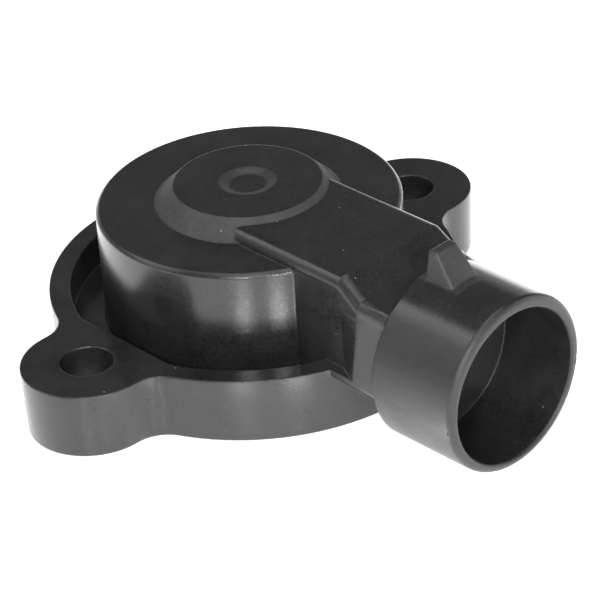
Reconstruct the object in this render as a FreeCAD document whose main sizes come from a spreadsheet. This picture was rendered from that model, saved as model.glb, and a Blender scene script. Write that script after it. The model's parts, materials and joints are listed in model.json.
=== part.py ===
import FreeCAD, Part
import math
import os
import re
import Sketcher
from FreeCAD import Vector

# Throttle position sensor, in millimetres and degrees.
# The origin is on the throttle shaft's axis at the mounting face. Z points away from the engine,
# X runs along the connector arm, and the two screw ears lie along Y.

doc = FreeCAD.newDocument("throttle_position_sensor")
sheet = doc.addObject("Spreadsheet::Sheet", "sizes")

SIZES = {
    # Flange and ears
    "flange_thick": 7.2,  # mounting face to the flange's top
    "flange_base_r": 21.6,  # flange at the mounting face
    "flange_draft": 1.75,  # outward lean of the flange's side wall, degrees
    "hole_spacing": 47.0,  # screw hole to screw hole, across the shaft axis
    "screw_hole_r": 2.75,  # clearance hole for an M5 screw
    "ear_base_r": 6.67,  # ear round its screw hole
    "ear_blend_r": 3.8,  # hollow curve between ear and flange
    "rim_wall": 2.05,  # flange wall outside the moulded pocket
    "pocket_floor": 3.6,  # mounting face to the pocket's floor
    "pocket_flat": 1.22,  # how far the pocket's straight ends lie inside its round
    # Body
    "body_r": 16.1,  # round body outside
    "body_height": 16.2,  # mounting face to the body's flat top
    "body_edge_bevel": 0.4,  # softened top edge of the body
    "disc_base_r": 9.86,  # raised disc where it meets the body's top
    "disc_top_r": 7.83,  # raised disc at its flat top
    "disc_rise": 1.95,  # height of the raised disc
    "dimple_r": 2.98,  # dimple's outer edge
    "dimple_floor_r": 2.0,  # dimple's flat floor
    "dimple_depth": 0.4,  # depth of the dimple
    # Arm
    "arm_half": 7.4,  # half the arm's width at the body
    "arm_flare": 0.2,  # how much each side widens past the shoulder
    "arm_rise": 1.35,  # arm's top above the body's top
    "arm_edge_r": 1.3,  # rounding of the arm's long top edges
    "arm_side_band": 0.15,  # upright side left under that rounding
    "arm_start": 5.0,  # where the arm leaves the raised disc
    "shoulder_start": 20.8,  # where the arm's top begins to slope down
    "shoulder_run": 2.5,  # length of the slope
    "shoulder_drop": 1.7,  # fall of the slope
    "neck_fall": 0.43,  # fall of the arm's low top towards the shroud
    "neck_taper": 0.45,  # how much each side draws in again towards the shroud
    "ledge_width": 1.2,  # how far the ledge stands out past the arm's side
    "ledge_root": 3.0,  # how far the ledge begins inside the flange's outline
    "ledge_edge": 0.67,  # straight edge of the ledge above its slopes
    "keel_half": 3.2,  # half the width of the arm's flat underside
    "keel_level": 1.2,  # mounting face to the arm's flat underside
    # Connector shroud
    "shroud_back": 26.8,  # shaft axis to the shroud's back
    "shroud_length": 10.65,  # shroud's back to the mouth
    "shroud_r": 9.45,  # shroud outside
    "shroud_axis_z": 8.45,  # mounting face to the shroud's outer axis
    "mouth_round": 0.7,  # rounding of the mouth's outer edge
    "parting_step": 0.1,  # how much smaller the shroud is under its parting line
    "parting_drop": 0.65,  # shroud's axis to the parting line
    "shroud_wall": 1.22,  # shroud outside to the socket
    "socket_drop": 0.15,  # how far the socket's axis lies below the shroud's
    "back_wall": 1.6,  # shroud's back to the socket's floor
    "mouth_chamfer": 0.2,  # lead-in at the socket's mouth
    "wedge_back_in": 0.4,  # shroud's back to the lock wedge's upright back
    "wedge_length": 4.25,  # lock wedge at its foot
    "wedge_half": 1.95,  # half the wedge's width at its foot
    "wedge_sink": 0.7,  # how far the wedge's foot lies in the shroud's wall
    "wedge_rise": 2.9,  # shroud's top to the wedge's crest
    "crest_back_in": 0.3,  # wedge's back to the crest
    "crest_length": 1.1,  # flat crest
    "crest_half": 1.55,  # half the crest's width
    "wedge_round": 0.4,  # softened edges of the wedge
    # Hollow behind the body
    "body_wall": 2.9,  # body outside to the hollow
    "seat_step": 1.0,  # hollow to the back cover's seat, each side
    "boss_wall": 2.0,  # wall of the bearing boss that hangs from the roof
    "boss_drop": 1.65,  # roof to the boss's lower end
    "journal_hole_depth": 2.1,  # journal hole above the hollow's roof
    "rib_depth": 0.9,  # how far a stop rib stands in from the hollow's wall
    "rib_width": 2.4,  # width of a stop rib
    "stake_r": 0.8,  # pin that locates the track board
    "stake_web": 0.45,  # board left outside each locating pin's hole
    "stake_count": 3,  # locating pins
    "stake_turn": 60,  # first locating pin's place round the shaft's axis, degrees
    "notch_depth": 0.9,  # notch in the hollow's wall for the spring's leg
    # Seal
    "groove_wall": 2.3,  # back cover's seat to the seal's groove
    "groove_width": 2.4,  # width of the groove
    "groove_depth": 1.4,  # depth of the groove
    "seal_gap": 0.2,  # seal to each wall of its groove
    "seal_proud": 0.4,  # how far the free seal stands out of the face
    # Back cover
    "cover_thick": 1.8,  # back cover
    "cover_recess": 0.6,  # how far the cover lies inside the mounting face
    "cover_gap": 0.05,  # cover's edge to its seat
    "cover_chamfer": 0.3,  # bevel of the cover's outer edge
    # Rotor
    "hub_r": 6.4,  # hub where it turns in the cover
    "hub_gap": 0.05,  # running clearance round the hub
    "hub_recess": 0.3,  # cover's outer face to the hub's open end
    "hub_bevel": 0.3,  # bevel of the hub's open end
    "barrel_step": 1.0,  # hub to its thicker part inside the cover
    "end_play": 0.1,  # cover to the barrel's shoulder
    "washer_play": 0.25,  # thrust washer to the boss
    "disc_thick": 1.2,  # rotor's disc
    "disc_gap": 0.8,  # rotor's disc to the stop ribs
    "journal_r": 2.45,  # upper journal
    "journal_gap": 0.05,  # running clearance round the journal
    "journal_end_gap": 0.3,  # journal's end to the bottom of its hole
    "drive_r": 4.05,  # drive socket for the throttle shaft
    "drive_depth": 4.0,  # round part of the drive socket
    "flat_r": 3.5,  # rounded ends of the driving slot
    "flat_half": 2.1,  # half the distance across the driving slot's flats
    "flat_depth": 3.5,  # depth of the driving slot
    "lug_gap": 0.4,  # stop lug to the hollow's wall
    "lug_width": 2.4,  # width of the stop lug
    "stop_gap": 0.3,  # lug to rib at each end of the travel
    "travel": 100,  # turn of the rotor from rest, degrees
    # Wiper
    "wiper_thick": 0.2,  # spring bronze strip
    "wiper_inset": 4.6,  # rotor disc's rim to the wiper's near edge
    "wiper_base_half": 2.2,  # half the length of the wiper's base
    "finger_reach": 3.2,  # length of a finger, seen from above
    "finger_width": 0.55,  # width of a finger
    "finger_pitch": 0.9,  # finger to finger
    "finger_count": 4,  # fingers
    "finger_gap": 0.06,  # fingertip to the track board
    "fingertip": 0.5,  # flat contact at a finger's end
    # Track board
    "board_thick": 0.6,  # track board
    "board_gap": 0.1,  # board's edge to the stop ribs
    "boss_gap": 0.3,  # bearing boss to the board's hole
    "stake_gap": 0.05,  # pin to its hole in the board
    # Thrust washer
    "washer_thick": 0.5,  # thrust washer
    "washer_rim": 0.1,  # how far the washer stands out past the boss
    "washer_gap": 0.1,  # journal to the washer's hole
    # Return spring
    "wire_r": 0.45,  # spring wire, half its thickness
    "coil_gap": 0.45,  # barrel to the coil
    "coil_pitch": 1.7,  # rise of one turn
    "coil_turns": 2,  # turns
    "coil_lift": 0.1,  # cover to the lowest turn
    "leg_gap": 0.1,  # spring's leg to its slot, all round
    "leg_bite": 0.7,  # how far the upper leg enters the rotor
    # Terminals
    "terminal_thick": 0.6,  # brass strip
    "terminal_width": 1.5,  # width of a strip
    "terminal_pitch": 3.8,  # strip to strip
    "blade_above_axis": 3.0,  # socket's axis to the blades' middle
    "jog_rise": 1.9,  # blades' middle to the strips' upper face under the board
    "blade_length": 3.2,  # how far a blade stands out of the socket's floor
    "blade_bevel": 0.2,  # bevel of a blade's tip
    "jog_wall": 4.8,  # hollow's wall to the upright part of a strip
    "foot_length": 1.9,  # how far a strip reaches in past the stop ribs
    "bend_r": 0.4,  # inside of a bend
    # Cuts
    "overshoot": 1.0,  # how far a cutting outline reaches past the face it cuts
}

# Sizes that follow from the others
DERIVED = {
    "hole_reach": "hole_spacing / 2",
    "pocket_r": "flange_base_r - rim_wall",
    "pocket_end_y": "pocket_r - pocket_flat",
    "arm_top": "body_height + arm_rise",
    "shoulder_end": "shoulder_start + shoulder_run",
    "arm_low_top": "arm_top - shoulder_drop",
    "neck_top": "arm_low_top - neck_fall",
    "flare_half": "arm_half + arm_flare",
    "neck_half": "flare_half - neck_taper",
    "arm_side_top": "neck_top - arm_edge_r - arm_side_band",
    "ledge_half": "arm_half + ledge_width",
    "ledge_start": "flange_base_r - ledge_root",
    "shroud_mouth": "shroud_back + shroud_length",
    "shroud_top": "shroud_axis_z + shroud_r",
    "parting_angle": "parting_drop / shroud_r * 180 / pi",
    "socket_r": "shroud_r - shroud_wall",
    "socket_axis_z": "shroud_axis_z - socket_drop",
    "socket_floor": "shroud_back + back_wall",
    "wedge_back": "shroud_back + wedge_back_in",
    "wedge_front": "wedge_back + wedge_length",
    "wedge_foot_z": "shroud_top - wedge_sink",
    "wedge_top_z": "shroud_top + wedge_rise",
    "crest_back": "wedge_back + crest_back_in",
    "crest_front": "crest_back + crest_length",
    "blade_z": "socket_axis_z + blade_above_axis",
    "blade_tip": "socket_floor + blade_length",
    "board_low": "blade_z + jog_rise",
    "cavity_top": "board_low + board_thick",
    "cavity_r": "body_r - body_wall",
    "seat_r": "cavity_r + seat_step",
    "groove_inner_r": "seat_r + groove_wall",
    "groove_outer_r": "groove_inner_r + groove_width",
    "seal_inner_r": "groove_inner_r + seal_gap",
    "seal_outer_r": "groove_outer_r - seal_gap",
    "rib_r": "cavity_r - rib_depth",
    "board_r": "rib_r - board_gap",
    "stake_hole_r": "stake_r + stake_gap",
    "stake_reach": "board_r - stake_web - stake_hole_r",
    "journal_hole_r": "journal_r + journal_gap",
    "journal_hole_top": "cavity_top + journal_hole_depth",
    "boss_r": "journal_hole_r + boss_wall",
    "boss_end": "cavity_top - boss_drop",
    "board_hole_r": "boss_r + boss_gap",
    "washer_r": "boss_r + washer_rim",
    "disc_top": "boss_end - washer_play - washer_thick",
    "disc_low": "disc_top - disc_thick",
    "disc_r": "rib_r - disc_gap",
    "lug_r": "cavity_r - lug_gap",
    "wiper_inner_y": "disc_r - wiper_inset",
    "cover_top": "cover_recess + cover_thick",
    "cover_r": "seat_r - cover_gap",
    "hub_end": "cover_recess + hub_recess",
    "barrel_r": "hub_r + barrel_step",
    "barrel_low": "cover_top + end_play",
    "coil_r": "barrel_r + coil_gap + wire_r",
    "coil_low": "cover_top + coil_lift + wire_r",
    "coil_high": "coil_low + coil_turns * coil_pitch",
    "leg_hole_r": "wire_r + leg_gap",
    "notch_r": "cavity_r + notch_depth",
    "jog_x": "cavity_r + jog_wall",
    "foot_x": "rib_r - foot_length",
    "stop_angle": "((rib_width + lug_width) / 2 + stop_gap) / rib_r * 180 / pi",
    "rib_spread": "travel + 2 * stop_angle",
}


def fill_sheet():
    cells = {**SIZES, **{alias: "=" + formula for alias, formula in DERIVED.items()}}
    for row, (alias, content) in enumerate(cells.items(), 1):
        sheet.set(f"A{row}", alias)
        sheet.set(f"B{row}", str(content))
        sheet.setAlias(f"B{row}", alias)
    doc.recompute()


fill_sheet()


def bound(expression):
    """The expression with each size's name pointing at the sheet."""
    aliases = SIZES.keys() | DERIVED.keys()

    def pointed(word):
        return "sizes." + word.group() if word.group() in aliases else word.group()

    return re.sub(r"[a-z_]+", pointed, expression)


def number(expression):
    value = sheet.evalExpression(expression)
    return float(getattr(value, "Value", value))


def bind(thing, **properties):
    """Ties properties to sizes; a double underscore stands for a dot."""
    for name, expression in properties.items():
        thing.setExpression(name.replace("__", "."), bound(expression))


def new_body(name):
    body = doc.addObject("PartDesign::Body", name)
    body.Label = name
    return body


def origin_part(body, role):
    return next(part for part in body.Origin.OriginFeatures if part.Role == role)


def new_sketch(body, name, role, x="0", y="0", lift="0", turn="0"):
    """A sketch on one of the body's own planes, moved in that plane by x and y and off it by lift."""
    sketch = body.newObject("Sketcher::SketchObject", name)
    sketch.AttachmentSupport = [(origin_part(body, role), "")]
    sketch.MapMode = "FlatFace"
    bind(sketch, AttachmentOffset__Base__x=x, AttachmentOffset__Base__y=y, AttachmentOffset__Base__z=lift)
    bind(sketch, AttachmentOffset__Rotation__Angle=turn)
    return sketch


def pin(sketch, curve, end, x=None, y=None):
    """Ties one point of a curve to a place in the sketch, by expressions."""
    for kind, axis, place in (("DistanceX", -2, x), ("DistanceY", -1, y)):
        if place is None:
            continue
        value = number(place)
        if abs(value) < 1e-9:
            sketch.addConstraint(Sketcher.Constraint("PointOnObject", curve, end, axis))
            continue
        ends = (-1, 1, curve, end) if value > 0 else (curve, end, -1, 1)
        row = sketch.addConstraint(Sketcher.Constraint(kind, *ends, abs(value)))
        sketch.setExpression(f"Constraints[{row}]", bound(place if value > 0 else f"-({place})"))


def polygon(sketch, corners):
    """A closed outline of straight edges through corners given as expressions."""
    places = [Vector(number(x), number(y), 0) for x, y in corners]
    first = sketch.GeometryCount
    for start, end in zip(places, places[1:] + places[:1]):
        sketch.addGeometry(Part.LineSegment(start, end))
    for index, (x, y) in enumerate(corners):
        following = first + (index + 1) % len(corners)
        sketch.addConstraint(Sketcher.Constraint("Coincident", first + index, 2, following, 1))
        pin(sketch, first + index, 1, x, y)


def rectangle(sketch, x_low, x_high, y_low, y_high):
    polygon(sketch, [(x_low, y_low), (x_high, y_low), (x_high, y_high), (x_low, y_high)])


def circle(sketch, x, y, radius):
    place = Vector(number(x), number(y), 0)
    curve = sketch.addGeometry(Part.Circle(place, Vector(0, 0, 1), number(radius)))
    pin(sketch, curve, 3, x, y)
    row = sketch.addConstraint(Sketcher.Constraint("Radius", curve, number(radius)))
    sketch.setExpression(f"Constraints[{row}]", bound(radius))


def arc(sketch, x, y, radius, start, end):
    """An arc with its centre and radius tied; its ends stay free for the curves they meet."""
    whole = Part.Circle(Vector(x, y, 0), Vector(0, 0, 1), number(radius))
    curve = sketch.addGeometry(Part.ArcOfCircle(whole, start, end))
    row = sketch.addConstraint(Sketcher.Constraint("Radius", curve, number(radius)))
    sketch.setExpression(f"Constraints[{row}]", bound(radius))
    return curve


def central_arc(sketch, radius, start_x, start_y, end_x, end_y):
    """An arc about the sketch's origin, anticlockwise between two places that it nearly meets."""
    start = math.atan2(start_y, start_x)
    end = math.atan2(end_y, end_x)
    curve = arc(sketch, 0, 0, radius, start, end if end > start else end + 2 * math.pi)
    sketch.addConstraint(Sketcher.Constraint("Coincident", curve, 3, -1, 1))
    return curve


def level_line(sketch, start, end, height):
    """A line along X at a height given as an expression."""
    curve = sketch.addGeometry(Part.LineSegment(Vector(*start, 0), Vector(*end, 0)))
    sketch.addConstraint(Sketcher.Constraint("Horizontal", curve))
    pin(sketch, curve, 1, y=height)
    return curve


def add_feature(body, kind, name, sketch, **properties):
    feature = body.newObject("PartDesign::" + kind, name)
    feature.Profile = sketch
    bind(feature, **properties)
    return feature


def pad(body, name, sketch, length, midplane=False, flip=False):
    feature = add_feature(body, "Pad", name, sketch, Length=length)
    feature.Midplane = midplane
    feature.Reversed = flip
    return feature


def pocket(body, name, sketch, length, midplane=False, flip=False):
    feature = add_feature(body, "Pocket", name, sketch, Length=length)
    feature.Midplane = midplane
    feature.Reversed = flip
    return cut_done(body, feature)


def cut_done(body, feature):
    """Makes sure that a cut took something away."""
    doc.recompute()
    if not feature.Shape.Volume < feature.BaseFeature.Shape.Volume - 1e-6:
        raise RuntimeError(f"{feature.Name} cuts nothing from {body.Name}")
    return feature


def turned(body, kind, name, sketch, axis="V_Axis"):
    feature = body.newObject("PartDesign::" + kind, name)
    feature.Profile = sketch
    feature.ReferenceAxis = (sketch, [axis])
    feature.Angle = 360
    return cut_done(body, feature) if kind == "Groove" else feature


def dress_edges(body, kind, name, size, places):
    """Rounds or bevels the edge that lies nearest to each place."""
    doc.recompute()
    base = body.Tip
    names = []
    for place in places:
        spot = Part.Vertex(Vector(*place))
        gaps = [edge.distToShape(spot)[0] for edge in base.Shape.Edges]
        names.append(f"Edge{gaps.index(min(gaps)) + 1}")
    feature = body.newObject("PartDesign::" + kind, name)
    feature.Base = (base, sorted(set(names)))
    bind(feature, **{"Radius" if kind == "Fillet" else "Size": size})
    doc.recompute()
    return feature


# Flange outline: two ears on a round plate, with hollow curves between them, tangent all round
def flange_outline(sketch):
    names = ("flange_base_r", "ear_base_r", "ear_blend_r", "hole_reach")
    plate, ear, blend, reach = (number(name) for name in names)
    blend_y = (reach ** 2 + (plate + blend) ** 2 - (ear + blend) ** 2) / (2 * reach)
    blend_x = math.sqrt((plate + blend) ** 2 - blend_y ** 2)
    to_plate = math.atan2(blend_y, blend_x)
    to_ear = math.atan2(blend_y - reach, blend_x)
    turn = math.pi
    curves = [
        arc(sketch, 0, 0, "flange_base_r", -to_plate, to_plate),
        arc(sketch, blend_x, blend_y, "ear_blend_r", turn - to_ear, turn + to_plate),
        arc(sketch, 0, reach, "ear_base_r", to_ear, turn - to_ear),
        arc(sketch, -blend_x, blend_y, "ear_blend_r", -to_plate, to_ear),
        arc(sketch, 0, 0, "flange_base_r", turn - to_plate, turn + to_plate),
        arc(sketch, -blend_x, -blend_y, "ear_blend_r", -to_ear, to_plate),
        arc(sketch, 0, -reach, "ear_base_r", turn + to_ear, 2 * turn - to_ear),
        arc(sketch, blend_x, -blend_y, "ear_blend_r", turn - to_plate, turn + to_ear),
    ]
    starts_first = [True, False, True, False, True, False, True, False]
    for index, curve in enumerate(curves):
        following = (index + 1) % len(curves)
        leaving = 2 if starts_first[index] else 1
        entering = 1 if starts_first[following] else 2
        sketch.addConstraint(Sketcher.Constraint("Tangent", curve, leaving, curves[following], entering))
    for curve in (curves[0], curves[4]):
        sketch.addConstraint(Sketcher.Constraint("Coincident", curve, 3, -1, 1))
    pin(sketch, curves[2], 3, "0", "hole_reach")
    pin(sketch, curves[6], 3, "0", "-hole_reach")


# Moulded pocket: a crescent round the body, ended by the arm and cut straight at both ears
def pocket_outline(sketch):
    names = ("pocket_r", "cavity_r", "pocket_end_y", "arm_half")
    outer, inner, end_y, arm = (number(name) for name in names)
    end_x = math.sqrt(outer ** 2 - end_y ** 2)
    arm_outer_x = math.sqrt(outer ** 2 - arm ** 2)
    arm_inner_x = math.sqrt(inner ** 2 - arm ** 2)
    curves = [
        (central_arc(sketch, "pocket_r", arm_outer_x, arm, end_x, end_y), 1, 2),
        (level_line(sketch, (end_x, end_y), (-end_x, end_y), "pocket_end_y"), 1, 2),
        (central_arc(sketch, "pocket_r", -end_x, end_y, -end_x, -end_y), 1, 2),
        (level_line(sketch, (-end_x, -end_y), (end_x, -end_y), "-pocket_end_y"), 1, 2),
        (central_arc(sketch, "pocket_r", end_x, -end_y, arm_outer_x, -arm), 1, 2),
        (level_line(sketch, (arm_outer_x, -arm), (arm_inner_x, -arm), "-arm_half"), 1, 2),
        (central_arc(sketch, "cavity_r", arm_inner_x, arm, arm_inner_x, -arm), 2, 1),
        (level_line(sketch, (arm_inner_x, arm), (arm_outer_x, arm), "arm_half"), 1, 2),
    ]
    join_ends(sketch, curves)


def join_ends(sketch, curves):
    for (curve, _, leaving), (following, entering, _) in zip(curves, curves[1:] + curves[:1]):
        sketch.addConstraint(Sketcher.Constraint("Coincident", curve, leaving, following, entering))


def make_arm():
    body = new_body("arm_moulding")
    plan = new_sketch(body, "arm_plan", "XY_Plane", lift="arm_side_top")
    ridge = [
        ("arm_start", "arm_half", "arm_top"),
        ("shoulder_start", "arm_half", "arm_top"),
        ("shoulder_end", "flare_half", "arm_low_top"),
        ("shroud_back", "neck_half", "neck_top"),
    ]
    side = [(x, y) for x, y, _ in ridge]
    polygon(plan, side + [(x, f"-{y}") for x, y in reversed(side)])
    pad(body, "arm_block", plan, "arm_top - arm_side_top")
    slope = new_sketch(body, "arm_slope", "XZ_Plane")
    polygon(slope, [
        ("shoulder_start", "arm_top"),
        ("shoulder_end", "arm_low_top"),
        ("shroud_back", "neck_top"),
        ("shroud_back + overshoot", "neck_top"),
        ("shroud_back + overshoot", "arm_top + overshoot"),
        ("shoulder_start", "arm_top + overshoot"),
    ])
    pocket(body, "arm_shoulder", slope, "2 * (ledge_half + overshoot)", midplane=True)
    places = []
    for start, end in zip(ridge, ridge[1:]):
        x, y, z = (number(f"({first} + {second}) / 2") for first, second in zip(start, end))
        places += [(x, y, z), (x, -y, z)]
    dress_edges(body, "Fillet", "arm_edges", "arm_edge_r", places)

    lower = new_sketch(body, "arm_lower_plan", "XY_Plane", lift="flange_thick")
    rectangle(lower, "arm_start", "shoulder_start", "-arm_half", "arm_half")
    pad(body, "arm_lower_block", lower, "arm_side_top - flange_thick")
    sections = []
    for name, x, foot, top in (
        ("flare_begin", "shoulder_start", "arm_half", "arm_half"),
        ("flare_end", "shoulder_end", "ledge_half", "flare_half"),
        ("neck_end", "shroud_back", "ledge_half", "neck_half"),
    ):
        section = new_sketch(body, name, "YZ_Plane", lift=x)
        corners = [(foot, "flange_thick"), (top, "arm_side_top")]
        polygon(section, corners + [(f"-{y}", z) for y, z in reversed(corners)])
        sections.append(section)
    neck = body.newObject("PartDesign::AdditiveLoft", "leaning_neck")
    neck.Profile = sections[0]
    neck.Sections = sections[1:]
    neck.Ruled = True
    doc.recompute()

    ledge = new_sketch(body, "ledge_section", "YZ_Plane", lift="ledge_start")
    corners = [
        ("ledge_half", "flange_thick"),
        ("ledge_half", "flange_thick - ledge_edge"),
        ("keel_half", "keel_level"),
    ]
    polygon(ledge, corners + [(f"-{y}", z) for y, z in reversed(corners)])
    pad(body, "ledge", ledge, "shroud_back - ledge_start")
    return body


def rounded_mouth(sketch, radius, rounding):
    """Half the shroud's section, with its mouth's outer edge rounded."""
    back, mouth, outer, size = (number(name) for name in ("shroud_back", "shroud_mouth", radius, rounding))
    whole = Part.Circle(Vector(mouth - size, outer - size, 0), Vector(0, 0, 1), size)
    edge = sketch.addGeometry(Part.ArcOfCircle(whole, 0, math.pi / 2))
    row = sketch.addConstraint(Sketcher.Constraint("Radius", edge, size))
    sketch.setExpression(f"Constraints[{row}]", bound(rounding))
    places = [(mouth - size, outer), (back, outer), (back, 0), (mouth, 0), (mouth, outer - size)]
    lines = [
        sketch.addGeometry(Part.LineSegment(Vector(*start, 0), Vector(*end, 0)))
        for start, end in zip(places, places[1:])
    ]
    join_ends(sketch, [(edge, 1, 2)] + [(line, 1, 2) for line in lines])
    pin(sketch, edge, 1, "shroud_mouth", f"{radius} - ({rounding})")
    pin(sketch, edge, 2, f"shroud_mouth - ({rounding})", radius)
    pin(sketch, lines[1], 1, "shroud_back", radius)
    pin(sketch, lines[1], 2, "shroud_back", "0")
    pin(sketch, lines[3], 1, "shroud_mouth", "0")


def make_shroud():
    body = new_body("shroud_moulding")
    section = new_sketch(body, "shroud_section", "XZ_Plane", y="shroud_axis_z")
    rounded_mouth(section, "shroud_r - parting_step", "mouth_round - parting_step / 2")
    turned(body, "Revolution", "shroud_barrel", section, "H_Axis")
    section = new_sketch(body, "upper_half_section", "XZ_Plane", y="shroud_axis_z")
    rounded_mouth(section, "shroud_r", "mouth_round")
    upper = turned(body, "Revolution", "shroud_upper_half", section, "H_Axis")
    upper.Midplane = True
    bind(upper, Angle="180 + 2 * parting_angle")
    foot = new_sketch(body, "wedge_foot", "XY_Plane", lift="wedge_foot_z")
    rectangle(foot, "wedge_back", "wedge_front", "-wedge_half", "wedge_half")
    crest = new_sketch(body, "wedge_crest", "XY_Plane", lift="wedge_top_z")
    rectangle(crest, "crest_back", "crest_front", "-crest_half", "crest_half")
    wedge = body.newObject("PartDesign::AdditiveLoft", "lock_wedge")
    wedge.Profile = foot
    wedge.Sections = [crest]
    wedge.Ruled = True
    top_z = number("wedge_top_z")
    crest_x, crest_y = number("(crest_back + crest_front) / 2"), number("crest_half")
    side_y, side_z = number("(wedge_half + crest_half) / 2"), number("(wedge_foot_z + wedge_top_z) / 2")
    places = [(crest_x, crest_y, top_z), (crest_x, -crest_y, top_z)]
    for foot_x, top_x in (("wedge_back", "crest_back"), ("wedge_front", "crest_front")):
        side_x = number(f"({foot_x} + {top_x}) / 2")
        places += [(number(top_x), 0, top_z), (side_x, side_y, side_z), (side_x, -side_y, side_z)]
    dress_edges(body, "Fillet", "wedge_edges", "wedge_round", places)
    return body


def make_housing(terminals):
    body = new_body("housing_moulding")
    outline = new_sketch(body, "flange_outline", "XY_Plane")
    flange_outline(outline)
    plate = pad(body, "flange_plate", outline, "flange_thick")
    bind(plate, TaperAngle="flange_draft")
    crescent = new_sketch(body, "pocket_outline", "XY_Plane", lift="flange_thick")
    pocket_outline(crescent)
    pocket(body, "flange_pocket", crescent, "flange_thick - pocket_floor")

    profile = new_sketch(body, "body_profile", "XZ_Plane")
    polygon(profile, [
        ("0", "0"),
        ("body_r", "0"),
        ("body_r", "body_height"),
        ("disc_base_r", "body_height"),
        ("disc_top_r", "body_height + disc_rise"),
        ("dimple_r", "body_height + disc_rise"),
        ("dimple_floor_r", "body_height + disc_rise - dimple_depth"),
        ("0", "body_height + disc_rise - dimple_depth"),
    ])
    turned(body, "Revolution", "round_body", profile)
    top_edge = (-number("body_r"), 0, number("body_height"))
    dress_edges(body, "Chamfer", "body_edge", "body_edge_bevel", [top_edge])

    join = body.newObject("PartDesign::Boolean", "arm_and_shroud")
    join.setObjects([make_arm(), make_shroud()])
    join.Type = "Fuse"
    doc.recompute()

    hollow = new_sketch(body, "hollow_profile", "XZ_Plane")
    polygon(hollow, [
        ("0", "-overshoot"),
        ("seat_r", "-overshoot"),
        ("seat_r", "cover_top"),
        ("cavity_r", "cover_top"),
        ("cavity_r", "cavity_top"),
        ("boss_r", "cavity_top"),
        ("boss_r", "boss_end"),
        ("journal_hole_r", "boss_end"),
        ("journal_hole_r", "journal_hole_top"),
        ("0", "journal_hole_top"),
    ])
    turned(body, "Groove", "rear_hollow", hollow)
    groove = new_sketch(body, "seal_groove_profile", "XZ_Plane")
    rectangle(groove, "groove_inner_r", "groove_outer_r", "-overshoot", "groove_depth")
    turned(body, "Groove", "seal_groove", groove)
    holes = new_sketch(body, "screw_hole_circles", "XY_Plane", lift="flange_thick + overshoot")
    circle(holes, "0", "hole_reach", "screw_hole_r")
    circle(holes, "0", "-hole_reach", "screw_hole_r")
    pocket(body, "screw_holes", holes, "flange_thick + 2 * overshoot")

    socket = new_sketch(body, "socket_profile", "XZ_Plane", y="socket_axis_z")
    polygon(socket, [
        ("socket_floor", "0"),
        ("shroud_mouth + overshoot", "0"),
        ("shroud_mouth + overshoot", "socket_r + mouth_chamfer"),
        ("shroud_mouth", "socket_r + mouth_chamfer"),
        ("shroud_mouth - mouth_chamfer", "socket_r"),
        ("socket_floor", "socket_r"),
    ])
    turned(body, "Groove", "connector_socket", socket, "H_Axis")

    rib = new_sketch(body, "stop_rib_outline", "XY_Plane", lift="cover_top")
    rectangle(rib, "-(cavity_r + overshoot)", "-rib_r", "-rib_width / 2", "rib_width / 2")
    first_rib = pad(body, "stop_rib", rib, "cavity_top - cover_top")
    ribs = body.newObject("PartDesign::PolarPattern", "stop_ribs")
    ribs.Originals = [first_rib]
    ribs.Axis = (origin_part(body, "Z_Axis"), [""])
    ribs.Occurrences = 2
    bind(ribs, Angle="rib_spread")
    body.Tip = ribs
    doc.recompute()
    stake = new_sketch(body, "stake_circle", "XY_Plane", lift="cavity_top")
    circle(stake, "-stake_reach * cos(stake_turn)", "stake_reach * sin(stake_turn)", "stake_r")
    first_stake = pad(body, "board_stake", stake, "board_thick", flip=True)
    stakes = body.newObject("PartDesign::PolarPattern", "board_stakes")
    stakes.Originals = [first_stake]
    stakes.Axis = (origin_part(body, "Z_Axis"), [""])
    stakes.Angle = 360
    bind(stakes, Occurrences="stake_count")
    body.Tip = stakes
    doc.recompute()
    notch = new_sketch(body, "leg_notch_section", "YZ_Plane", lift="cavity_r - overshoot")
    rectangle(notch, "-leg_hole_r", "leg_hole_r", "cover_top - overshoot", "coil_low + leg_hole_r")
    pocket(body, "leg_notch", notch, "notch_depth + overshoot", flip=True)

    housing = doc.addObject("Part::Cut", "housing")
    strips = doc.addObject("Part::Compound", "terminal_strips")
    strips.Links = terminals
    housing.Base = body
    housing.Tool = strips
    housing.Label = "housing"
    return housing


# Bent strip: blade in the socket, jog up inside the arm, foot under the track board
def make_terminal(name, steps):
    body = new_body(name)
    section = new_sketch(body, name + "_side", "XZ_Plane")
    low, high = "blade_z - terminal_thick / 2", "blade_z + terminal_thick / 2"
    polygon(section, [
        ("foot_x", "board_low - terminal_thick"),
        ("jog_x - terminal_thick / 2", "board_low - terminal_thick"),
        ("jog_x - terminal_thick / 2", low),
        ("blade_tip", low),
        ("blade_tip", high),
        ("jog_x + terminal_thick / 2", high),
        ("jog_x + terminal_thick / 2", "board_low"),
        ("foot_x", "board_low"),
    ])
    pad(body, name + "_strip", section, "terminal_width", midplane=True)
    tip, half = number("blade_tip"), number("terminal_width / 2")
    low_z, middle_z, high_z = number(low), number("blade_z"), number(high)
    places = [(tip, 0, low_z), (tip, 0, high_z), (tip, -half, middle_z), (tip, half, middle_z)]
    dress_edges(body, "Chamfer", name + "_tip", "blade_bevel", places)
    inner, outer = number("jog_x - terminal_thick / 2"), number("jog_x + terminal_thick / 2")
    foot_low, foot_high = number("board_low - terminal_thick"), number("board_low")
    dress_edges(body, "Fillet", name + "_inner_bends", "bend_r", [(inner, 0, foot_low), (outer, 0, high_z)])
    places = [(inner, 0, low_z), (outer, 0, foot_high)]
    dress_edges(body, "Fillet", name + "_outer_bends", "bend_r + terminal_thick", places)
    bind(body, Placement__Base__y=f"{steps} * terminal_pitch")
    return body


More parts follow.
